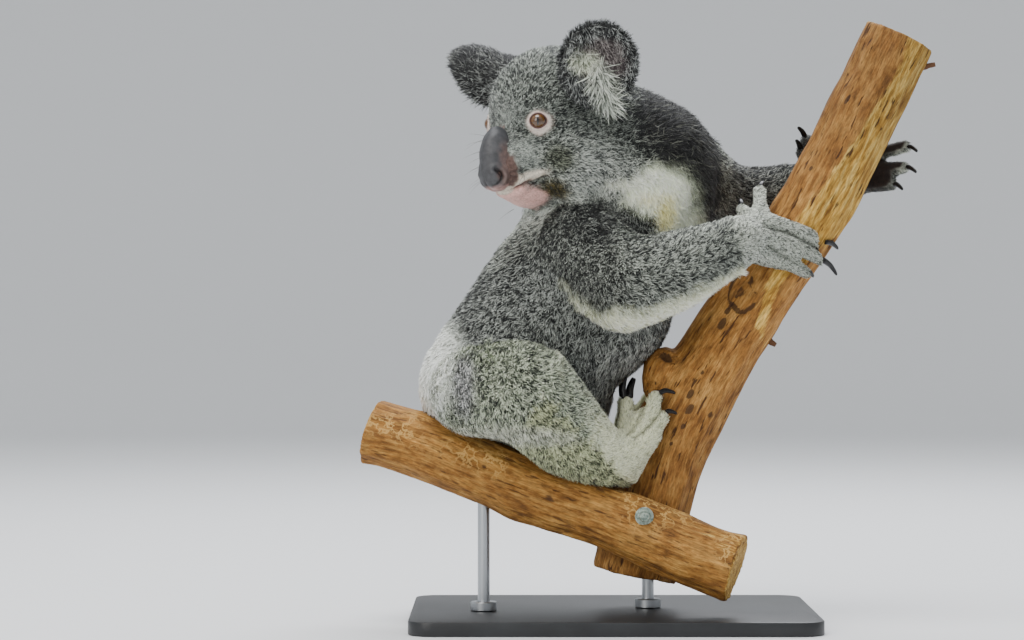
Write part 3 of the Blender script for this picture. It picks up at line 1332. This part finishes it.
def lie_of_coat(skin):
    """The way that the hair lies at each point of the skin: the streams' way, laid along the
    skin and evened out between neighbours."""
    place = skin["points"] / MM
    head = to_head(skin["points"])
    kind, side, normal = skin["kind"], skin["side"], skin["normal"]
    way = np.zeros_like(place)
    own = is_part(kind, "head", "eye", "nose")
    way[own] = stream_ways(head[own], mirrored(HEAD_STREAMS)) @ HEAD_AXES
    own = is_part(kind, "neck", "torso")
    way[own] = stream_ways(place[own], mirrored(BODY_STREAMS))
    for which, number in SIDES.items():
        own = is_part(kind, "upper_arm", "forearm", "hand") & (side == number)
        way[own] = stream_ways(place[own], ARM_STREAMS[which])
        under = ease(-normal[own][:, 2], 0.1, 0.6)[:, None]
        way[own] = way[own] * (1 - 0.75 * under) + HANGING * under
        own = is_part(kind, "thigh", "shank", "foot") & (side == number)
        stream = [(x, -number * y, z) for x, y, z in LEG_STREAM]
        way[own] = stream_ways(place[own], [stream])
        own = is_part(kind, "ear") & (side == number)
        fan = unit(head[own] - np.array(EAR_ROOTS[which]))
        turn = math.radians(EAR_OPENINGS[which])
        front = np.array((math.cos(turn), math.sin(turn), 0))
        facing = ease(normal[own] @ (front @ HEAD_AXES), 0.1, 0.5)[:, None]
        fan = fan * (1 - 0.55 * facing) + (0.45 * front + np.array((0, 0, -0.6))) * facing
        way[own] = fan @ HEAD_AXES
    for rounds in (6, 6):
        way = way - normal * (way * normal).sum(axis=1, keepdims=True)
        way = relaxed(unit(way), skin["faces"], rounds)
    return unit(way - normal * (way * normal).sum(axis=1, keepdims=True))


def unwrapped(points, faces):
    """The faces' corners on a flat unwrap of their own shape, from 0 to 1."""
    mesh = bpy.data.meshes.new("unwrap")
    mesh.from_pydata(points.tolist(), [], faces.tolist())
    mesh.uv_layers.new(name="OFBake")
    holder = bpy.data.objects.new("unwrap", mesh)
    bpy.context.scene.collection.objects.link(holder)
    bpy.context.view_layer.objects.active = holder
    holder.select_set(True)
    bpy.ops.object.mode_set(mode="EDIT")
    bpy.ops.mesh.select_all(action="SELECT")
    bpy.ops.uv.smart_project(angle_limit=math.radians(66), island_margin=0.002)
    bpy.ops.object.mode_set(mode="OBJECT")
    corners = np.empty(len(faces) * 6)
    mesh.uv_layers["OFBake"].data.foreach_get("uv", corners)
    bpy.data.objects.remove(holder)
    bpy.data.meshes.remove(mesh)
    return corners.reshape(-1, 3, 2)


def make_coat_piece(name, chosen, count, seed, skin, lie, material):
    """Tufts on the chosen faces. Roots are spread evenly by area. A tuft's middle stands off by
    a steep slope and its tip by a gentler one: p + l/2 (w cos a + n sin a), then again with a
    smaller a, for the root p, the length l, the way w and the skin's normal n."""
    rng = np.random.default_rng(seed)
    faces = skin["faces"][chosen]
    used, compact = np.unique(faces, return_inverse=True)
    compact = compact.reshape(-1, 3)
    points = skin["points"][used]
    coat = skin["coat"][used]
    corners = unwrapped(points, compact)
    edge = points[compact]
    area = np.linalg.norm(np.cross(edge[:, 1] - edge[:, 0], edge[:, 2] - edge[:, 0]), axis=1)
    length_here = coat[compact, 7].mean(axis=1)
    area = area * np.where(length_here > 1, 1 + 3.0 / (1 + length_here), 0)
    share = (np.arange(count) + rng.random(count)) / count
    face = np.clip(np.searchsorted(np.cumsum(area) / area.sum(), share), 0, len(area) - 1)
    spread = rng.random((count, 2))
    spread = np.where(spread.sum(axis=1, keepdims=True) > 1, 1 - spread, spread)
    weight = np.column_stack([1 - spread.sum(axis=1), spread])

    def at_root(values):
        return (values[compact[face]] * weight[:, :, None]).sum(axis=1)

    root = at_root(points)
    normal = unit(at_root(skin["normal"][used]))
    way = at_root(lie[used])
    look = at_root(coat)
    patch = (corners[face] * weight[:, :, None]).sum(axis=1)
    light, dark = look[:, 0:3], look[:, 3:6]
    place = root / MM
    # Locks of hair 3 to 5 mm wide share a swirl, so that their tips come together.
    swirl = np.stack([noise(place, 3.2, seed + 50 + axis) for axis in range(3)], axis=1) - 0.5
    loose = 0.25 + 0.9 * look[:, 8:9]
    way = way + 2.1 * loose * swirl + 0.65 * loose * rng.normal(size=(count, 3))
    way = unit(way - normal * (way * normal).sum(axis=1, keepdims=True))
    length = look[:, 7] * MM * rng.uniform(0.65, 1.25, count)
    steep = look[:, 8] * rng.uniform(0.7, 1.25, count)
    roll = rng.uniform(-1.0, 1.0, count)[:, None]
    side = np.cross(way, normal) * np.cos(roll) + normal * np.sin(roll)
    slope = steep[:, None] * 1.2
    bend = steep[:, None] * 0.55
    middle = root + 0.5 * length[:, None] * (way * np.cos(slope) + normal * np.sin(slope))
    tip = middle + 0.5 * length[:, None] * (way * np.cos(bend) + normal * np.sin(bend))
    width = HAIR_WIDTH * np.clip(0.5 + look[:, 7] / 20, 0.55, 1.1) * rng.uniform(0.75, 1.25, count)
    half = side * (width / 2)[:, None]
    base = root - normal * HAIR_SINK
    blades = np.stack([base - half * 0.8, base + half * 0.8, middle + half, middle - half, tip], axis=1)
    first = np.arange(count)[:, None] * 5
    faces = np.stack([first + (0, 1, 2), first + (0, 2, 3), first + (3, 2, 4)], axis=1).reshape(-1, 3)
    piece = mesh_object(name, blades.reshape(-1, 3), faces, material)

    # Light and dark hairs stand in clumps: wider ones on the legs, finer ones on hands and feet.
    part = skin["kind"][used][compact[face, 0]]
    legs = is_part(part, "thigh", "shank")
    ends = is_part(part, "hand", "foot")
    size = 1 + 0.5 * legs - 0.35 * ends
    place = place / size[:, None]
    grain = noise(place, 1.9, 41) + 0.9 * noise(place, 1.1, 42) - 0.95
    chance = look[:, 6] + (0.4 + 0.5 * size) * grain + 0.3 * rng.normal(size=count)
    bright = ease(chance, 0.34, 0.66)[:, None]
    tone = mixed(dark, light, bright) * rng.uniform(0.85, 1.12, count)[:, None]
    roots = tone * mixed(*ROOT_TONE, look[:, 6:7] ** 2)
    middles = tone * mixed(*MIDDLE_TONE, look[:, 6:7] ** 2)
    tips = tone * TIP_TONE
    colours = np.stack([roots, roots, middles, middles, tips], axis=1).reshape(-1, 3)
    set_colours(piece.data, "Coat", np.clip(colours, 0, 1))
    offset = BAKE_PATCH * np.array(((-1, -1), (1, -1), (1, 0), (-1, 0), (0, 1)))
    flat = (patch[:, None] + offset).reshape(-1, 2)[faces.ravel()]
    layer = piece.data.uv_layers.new(name="OFBake")
    layer.data.foreach_set("uv", np.clip(flat, 0, 1).astype(np.float32).ravel())
    # The light falls on the coat as on the skin below it, more than as on each blade's own face.
    outward = unit(normal * 1.0 + 0.25 * rng.normal(size=(count, 3)))
    piece.data.normals_split_custom_set_from_vertices(np.repeat(outward, 5, axis=0))
    return settle(piece, "fur")


def fur():
    """Koala fur: dry wool of fine crimped hairs that scatter light widely, so there is only a
    dull sheen, and the colour of each hair comes from the piece's own attribute."""
    material, tree, shader = start_material("Koala fur", "#8A8A88", 0.7)
    shader.inputs["Specular IOR Level"].default_value = 0.25
    shader.inputs["Sheen Weight"].default_value = 0.12
    shader.inputs["Sheen Roughness"].default_value = 0.6
    colour = add_node(tree, "ShaderNodeAttribute", {"attribute_name": "Coat"})
    tree.links.new(colour.outputs["Color"], shader.inputs["Base Color"])
    return material


def make_coat(skin):
    lie = lie_of_coat(skin)
    material = fur()
    corner_kinds = skin["kind"][skin["faces"][:, 0]]
    middle = skin["points"][skin["faces"]].mean(axis=1) / MM
    sides = skin["side"][skin["faces"][:, 0]]
    for seed, (name, parts, side, count) in enumerate(COAT_PIECES, 1):
        chosen = is_part(corner_kinds, *parts)
        if side:
            place = middle[:, 1] - TORSO_PARTING if parts == ("torso",) else sides
            chosen &= place * SIDES[side] > 0
        make_coat_piece(name, chosen, count, seed, skin, lie, material)


make_coat(skin)

# ---------------------------------------------------------------- eyes
# Wet brown eyes with a dark rim to the iris and an upright slit of a pupil, each a ball with a
# slightly bulging cornea, and a thin moist margin round the opening of the lids.

CORNEA_BULGE = 0.7
IRIS_SIZE = 0.80  # across the unit ball, from the middle
PUPIL_SIZE = (0.085, 0.40)
MARGIN_RADIUS = 0.75


def round_gaze(polar, around):
    """Points of a unit ball, by the angle off the gaze and the angle round it."""
    ways = [np.cos(polar) + 0 * around, np.sin(polar) * np.cos(around), np.sin(polar) * np.sin(around)]
    return np.stack(ways, axis=-1)


def wet_eye():
    """The eyeball: brown iris under a clear, wet cornea, very smooth with sharp highlights."""
    material, tree, shader = start_material("Wet brown eye", "#6A4A22", 0.06)
    shader.inputs["IOR"].default_value = 1.38
    shader.inputs["Coat Weight"].default_value = 1.0
    shader.inputs["Coat Roughness"].default_value = 0.02
    colour = add_node(tree, "ShaderNodeAttribute", {"attribute_name": "Iris"})
    tree.links.new(colour.outputs["Color"], shader.inputs["Base Color"])
    return material


def make_eye(name, side, material):
    """Rings of a ball round its gaze, close together at the front: r = radius + bulge of the
    cornea. The iris is coloured by the distance from the gaze, and by spokes."""
    polar = np.radians(180 * np.linspace(0.004, 1, 56) ** 1.5)[:, None]
    polar[-1] = np.pi - 0.01
    around = np.linspace(0, 2 * np.pi, 72, endpoint=False)
    radius = EYE_RADIUS + CORNEA_BULGE * (1 - ease(np.degrees(polar), 12, 46))
    ball = round_gaze(polar, around)
    axes = eye_axes(side)
    places = EYE_PLACE * (1, side, 1) + (ball * radius[..., None]) @ axes
    rings = from_head(places.reshape(-1, 3)).reshape(places.shape)
    piece = ring_object(name, rings if side < 0 else rings[:, ::-1], material)
    flat = (ball if side < 0 else ball[:, ::-1]).reshape(-1, 3)
    reach = np.hypot(flat[:, 1], flat[:, 2])
    turn = np.arctan2(flat[:, 2], flat[:, 1])
    spokes = noise(np.column_stack([turn * 6, reach * 2, reach * 0]), 1, 61)
    light = 0.15 + 0.85 * ease(reach, 0.1, 0.6) * spokes
    iris = mixed(linear("#2C1B0D"), linear("#6E4A24"), light[:, None])
    colours = mixed(iris, linear("#1A0F0A"), ease(reach, IRIS_SIZE - 0.16, IRIS_SIZE - 0.02)[:, None])
    slit = np.hypot(flat[:, 1] / PUPIL_SIZE[0], flat[:, 2] / PUPIL_SIZE[1])
    colours = mixed(linear("#060504"), colours, ease(slit, 0.85, 1.15)[:, None])
    set_colours(piece.data, "Iris", colours)
    return settle(piece, "eye", name.replace("eyeball_", "eye_"))


def make_lid_margin(name, side, material):
    """A thin tube along the edge of the lids: at each angle round the eye a small circle."""
    around = np.linspace(0, 2 * np.pi, 72, endpoint=False)
    turn = np.linspace(0, 2 * np.pi, 10, endpoint=False)
    axes = eye_axes(side)
    polar = np.radians(lid_angle(np.cos(around)) + 1)
    out = round_gaze(polar, around)
    ahead = unit(np.roll(out, -1, axis=0) - np.roll(out, 1, axis=0))
    cross = np.cross(out, ahead)
    tube = out[:, None] * (EYE_RADIUS + 0.35) + MARGIN_RADIUS * (
        np.cos(turn)[:, None] * out[:, None] + np.sin(turn)[:, None] * cross[:, None]
    )
    points = from_head(EYE_PLACE * (1, side, 1) + tube.reshape(-1, 3) @ axes)
    count, sides = len(around), len(turn)
    first = np.arange(count * sides).reshape(count, sides)
    next_ring = np.roll(first, -1, axis=0)
    beside = [first, next_ring, np.roll(next_ring, -1, axis=1), np.roll(first, -1, axis=1)]
    faces = np.stack(beside, axis=-1).reshape(-1, 4)
    piece = mesh_object(name, points, faces if side > 0 else faces[:, ::-1], material)
    return settle(piece, "eye")


def make_eyes():
    eye = wet_eye()
    margin, _, _ = start_material("Moist lid margin", "#4E322B", 0.3)
    for name, side in SIDES.items():
        make_eye(f"eyeball_{name}", side, eye)
        make_lid_margin(f"lid_margin_{name}", side, margin)


make_eyes()

# ---------------------------------------------------------------- nose
# The koala's large bare nose: pebbled charcoal leather, brown-pink and mottled at its sides, with
# comma-shaped nostrils and a pale pink lower rim.

NOSE_VOXEL = 0.85 * MM
NOSTRIL = ((87, 11, -51), (85, 14.5, -54), (83, 16, -59), (84.5, 14, -65), (87, 10, -68))


def nose_leather():
    """Hairless nose skin: pebbles about 0.7 mm wide, dry, with a soft broad sheen."""
    material, tree, shader = start_material("Nose leather", "#4A4A4F", 0.48)
    colour = add_node(tree, "ShaderNodeAttribute", {"attribute_name": "Leather"})
    place = add_node(tree, "ShaderNodeTexCoord").outputs["Object"]
    pebble = add_node(
        tree, "ShaderNodeTexVoronoi", {"feature": "SMOOTH_F1"}, {"Vector": place, "Scale": 1300}
    )
    cloud = add_node(tree, "ShaderNodeTexNoise", None, {"Vector": place, "Scale": 260, "Detail": 5})
    tone = add_node(
        tree, "ShaderNodeMapRange", None,
        {"Value": cloud.outputs["Fac"], "From Min": 0.3, "From Max": 0.7, "To Min": 0.7, "To Max": 1.3},
    )
    mottled = add_node(
        tree, "ShaderNodeMix", {"data_type": "RGBA", "blend_type": "MULTIPLY"},
        {0: 1.0, 6: colour.outputs["Color"], 7: tone.outputs["Result"]},
    )
    bump = add_node(
        tree, "ShaderNodeBump", None,
        {"Strength": 0.5, "Distance": 0.0003, "Height": pebble.outputs["Distance"]},
    )
    tree.links.new(mottled.outputs[2], shader.inputs["Base Color"])
    tree.links.new(bump.outputs["Normal"], shader.inputs["Normal"])
    return material


def make_nose():
    points, faces = solid_of(["nose"], NOSE_VOXEL)
    points = relaxed(points, faces, 24, 0.6)
    normal = normals_of(points, faces)
    head = to_head(points)
    folded = one_side(head)
    hole, _, _ = along_line(folded, smooth_line(NOSTRIL))
    middle = hump(folded[:, 1], 1.3) * ease(-folded[:, 2], 50, 62)
    wing = hump(hole - 4.2, 2.4)
    nostril = hump(hole, 2.3)
    move = 0.6 + 0.9 * wing - 5.5 * nostril - 1.2 * middle
    points = points + normal * (move * MM)[:, None]
    front = linear("#3A3A3C")
    side = ease(folded[:, 1] + 0.3 * (78 - folded[:, 0]) + 4 * (noise(folded, 5, 71) - 0.5), 8.5, 14)
    side = side * ease(-folded[:, 2], 18, 34)
    colours = mixed(front, linear("#5D4B46"), side[:, None])
    rim = ease(-folded[:, 2] - 0.25 * (folded[:, 0] - 80), 63, 68) * (1 - ease(folded[:, 1], 12, 16))
    colours = mixed(colours, linear("#A98680"), (0.9 * rim)[:, None])
    crown = ease(folded[:, 2], -24, -8)
    colours = mixed(colours, linear("#303236"), (0.6 * crown)[:, None])
    colours = mixed(colours, linear("#140D0D"), ease(nostril, 0.25, 0.75)[:, None])
    piece = mesh_object("nose_pad", points, faces, nose_leather())
    set_colours(piece.data, "Leather", colours)
    return settle(piece, "nose_leather", "nose")


make_nose()

# ---------------------------------------------------------------- whiskers
# Stiff dark hairs, thicker at the root than at the tip, fixed in the muzzle beside the nose, over
# the eye and on the chin.

WHISKER_WIDTH = 0.55
WHISKER_SIDES = 5
WHISKER_STEPS = 9


def make_whiskers():
    """Tubes along curves from root to tip: p + l (t w + t² d), where w is the way out and d is
    the droop. The radius falls evenly to a tenth."""
    rng = np.random.default_rng(91)
    rows = [
        (66 - 2 * row, 19 + 1.2 * row, -18 - 11 * row - 3 * hair, 26 + 2 * hair)
        for row in range(4)
        for hair in range(3)
    ]
    rows += [(60, 24, 16, 18), (58, 28, 19, 16), (48, 6, -88, 18)]
    rows = np.array(rows, float)
    all_points = []
    all_faces = []
    share = np.linspace(0, 1, WHISKER_STEPS)[:, None]
    turn = np.linspace(0, 2 * np.pi, WHISKER_SIDES, endpoint=False)
    for side in (1, -1):
        for forward, out, up, length in rows:
            root = np.array((forward, out * side, up)) + rng.normal(0, 1.2, 3)
            way = np.array((0.85, 0.55 * side, -0.10 + 0.012 * (up + 40)))
            way = unit(way + rng.normal(0, 0.14, 3))
            droop = np.array((-0.1, 0.1 * side, -0.28)) * rng.uniform(0.5, 1.5)
            line = root + length * rng.uniform(0.8, 1.15) * (way * share + droop * share**2)
            across = unit(np.cross(way, (0, 0, 1.0)))
            over = np.cross(across, way)
            radius = WHISKER_WIDTH / 2 * (1 - 0.9 * share)
            rings = line[:, None] + radius[:, None] * (
                np.cos(turn)[:, None] * across + np.sin(turn)[:, None] * over
            )
            first = len(all_points) * WHISKER_STEPS * WHISKER_SIDES
            index = first + np.arange(WHISKER_STEPS * WHISKER_SIDES).reshape(WHISKER_STEPS, -1)
            low, high = index[:-1], index[1:]
            quads = np.stack([low, np.roll(low, -1, axis=1), np.roll(high, -1, axis=1), high], axis=-1)
            all_points.append(rings.reshape(-1, 3))
            all_faces.append(quads.reshape(-1, 4)[:, ::-1])
    hair, _, _ = start_material("Whisker hair", "#4C4A46", 0.4)
    points = from_head(np.concatenate(all_points))
    settle(mesh_object("whiskers", points, np.concatenate(all_faces), hair), "fur")


make_whiskers()

# ---------------------------------------------------------------- claws
# Long curved claws of black horn, grown from the tips of the digits, with a sheen and faint
# streaks.

CLAW_GROWTH = 1.1 * MM  # makes up for what smoothing takes off


def claw_horn():
    """Black horn: near black, polished by bark, with streaks about a millimetre wide."""
    material, tree, shader = start_material("Black claw horn", "#0E0E11", 0.32)
    shader.inputs["Specular IOR Level"].default_value = 0.25
    place = add_node(tree, "ShaderNodeTexCoord").outputs["Object"]
    streak = add_node(tree, "ShaderNodeTexNoise", None, {"Vector": place, "Scale": 500, "Detail": 3})
    tone = add_node(
        tree, "ShaderNodeValToRGB", {"stops": [(0.4, "#08080A"), (0.66, "#1E1C1C")]},
        {"Fac": streak.outputs["Fac"]},
    )
    tree.links.new(tone.outputs["Color"], shader.inputs["Base Color"])
    return material


def make_claws():
    horn = claw_horn()
    for node in [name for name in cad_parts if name.startswith("claw_")]:
        mesh = joined_mesh([node])
        points, faces = mesh_arrays(mesh)
        bpy.data.meshes.remove(mesh)
        points = points + normals_of(points, faces) * CLAW_GROWTH
        piece = mesh_object(node.replace("claw_", "horn_"), points, faces, horn)
        smooth = piece.modifiers.new("Subdivision", "SUBSURF")
        smooth.levels = 2
        smooth.render_levels = 2
        settle(piece, "claw_horn", node)


make_claws()
